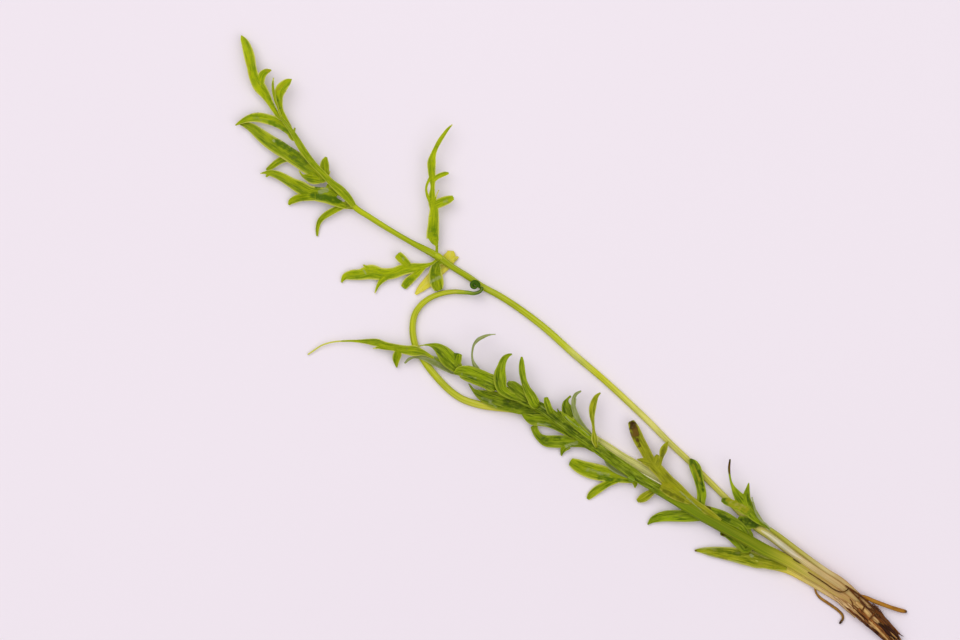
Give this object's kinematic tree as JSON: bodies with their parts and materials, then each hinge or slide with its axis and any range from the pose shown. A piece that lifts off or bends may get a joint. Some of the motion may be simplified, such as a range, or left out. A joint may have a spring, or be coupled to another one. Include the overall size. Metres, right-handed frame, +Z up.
{
  "type": "water fern plant",
  "caption": "Whole uprooted aquatic fern lying flat: long-stalked fronds with narrow forked leaves, a curled young frond, a short tan crown and a tuft of brown roots.",
  "frame": {"origin": "on the surface the plant lies on, under the middle of its outline", "axes": "+Z up from the surface, through the thin way of the plant; +X towards the root end, along the longest side of its box; +Y towards the top of the long frond"},
  "size_m": [0.202, 0.1854, 0.0066],
  "materials": {
    "crown_tan": "tan crown with brown streaks and scales, dull",
    "leaf_bright": "thin living leaf blade, bright yellow-green, soft sheen, edges glow where light comes through",
    "leaf_brown": "leaf turning olive and brown at its tip, dull",
    "leaf_dying": "dying leaf, yellow, dull",
    "leaf_green": "thin living leaf blade, mid green with fine lengthwise veins, soft sheen",
    "leaf_pale": "pale grey-green underside of a leaf, soft sheen",
    "root_brown": "wiry brown root, dull to satin",
    "stalk_green": "fleshy ribbed leaf stalk, yellow-green with darker green edges, wet sheen",
    "stalk_pale": "fleshy ribbed leaf stalk, pale yellow to tan, wet sheen"
  },
  "bodies": {
    "root": {"basal_frond_stalk": "stalk_pale", "basal_leaf": "leaf_green", "crown": "crown_tan", "leafy_frond_stalk": "stalk_green", "leafy_leaf_1": "leaf_green", "leafy_leaf_10": "leaf_green", "leafy_leaf_11": "leaf_green", "leafy_leaf_12": "leaf_green", "leafy_leaf_13": "leaf_green", "leafy_leaf_14": "leaf_green", "leafy_leaf_15": "leaf_green", "leafy_leaf_16": "leaf_green", "leafy_leaf_17": "leaf_green", "leafy_leaf_18": "leaf_green", "leafy_leaf_19": "leaf_green", "leafy_leaf_2": "leaf_green", "leafy_leaf_20": "leaf_pale", "leafy_leaf_21": "leaf_green", "leafy_leaf_22": "leaf_brown", "leafy_leaf_23": "leaf_green", "leafy_leaf_3": "leaf_brown", "leafy_leaf_4": "leaf_green", "leafy_leaf_5": "leaf_green", "leafy_leaf_6": "leaf_green", "leafy_leaf_7": "leaf_green", "leafy_leaf_8": "leaf_green", "leafy_leaf_9": "leaf_green", "long_frond_stalk": "stalk_green", "long_leaf_1": "leaf_bright", "long_leaf_2": "leaf_bright", "long_leaf_3": "leaf_bright", "long_leaf_4": "leaf_bright", "long_leaf_5": "leaf_bright", "long_leaf_6": "leaf_bright", "long_leaf_7": "leaf_bright", "long_leaf_8": "leaf_bright", "long_leaf_9": "leaf_bright", "middle_leaf_1": "leaf_bright", "middle_leaf_2": "leaf_bright", "middle_leaf_3": "leaf_bright", "middle_leaf_4_dying": "leaf_dying", "root_1": "root_brown", "root_2": "root_brown", "root_3": "root_brown", "root_4": "root_brown", "root_5": "root_brown", "root_6": "root_brown", "root_7": "root_brown", "root_8": "root_brown", "root_9": "root_brown", "root_loose_hooked": "root_brown", "root_loose_thick": "root_brown", "root_over_stalks": "root_brown", "short_frond_stalk": "stalk_green", "short_leaf_1": "leaf_green", "short_leaf_2": "leaf_green", "short_leaf_3": "leaf_green", "short_leaf_4": "leaf_green", "young_frond_crozier": "leaf_green", "young_frond_stalk": "stalk_green"}
  },
  "joints": []
}
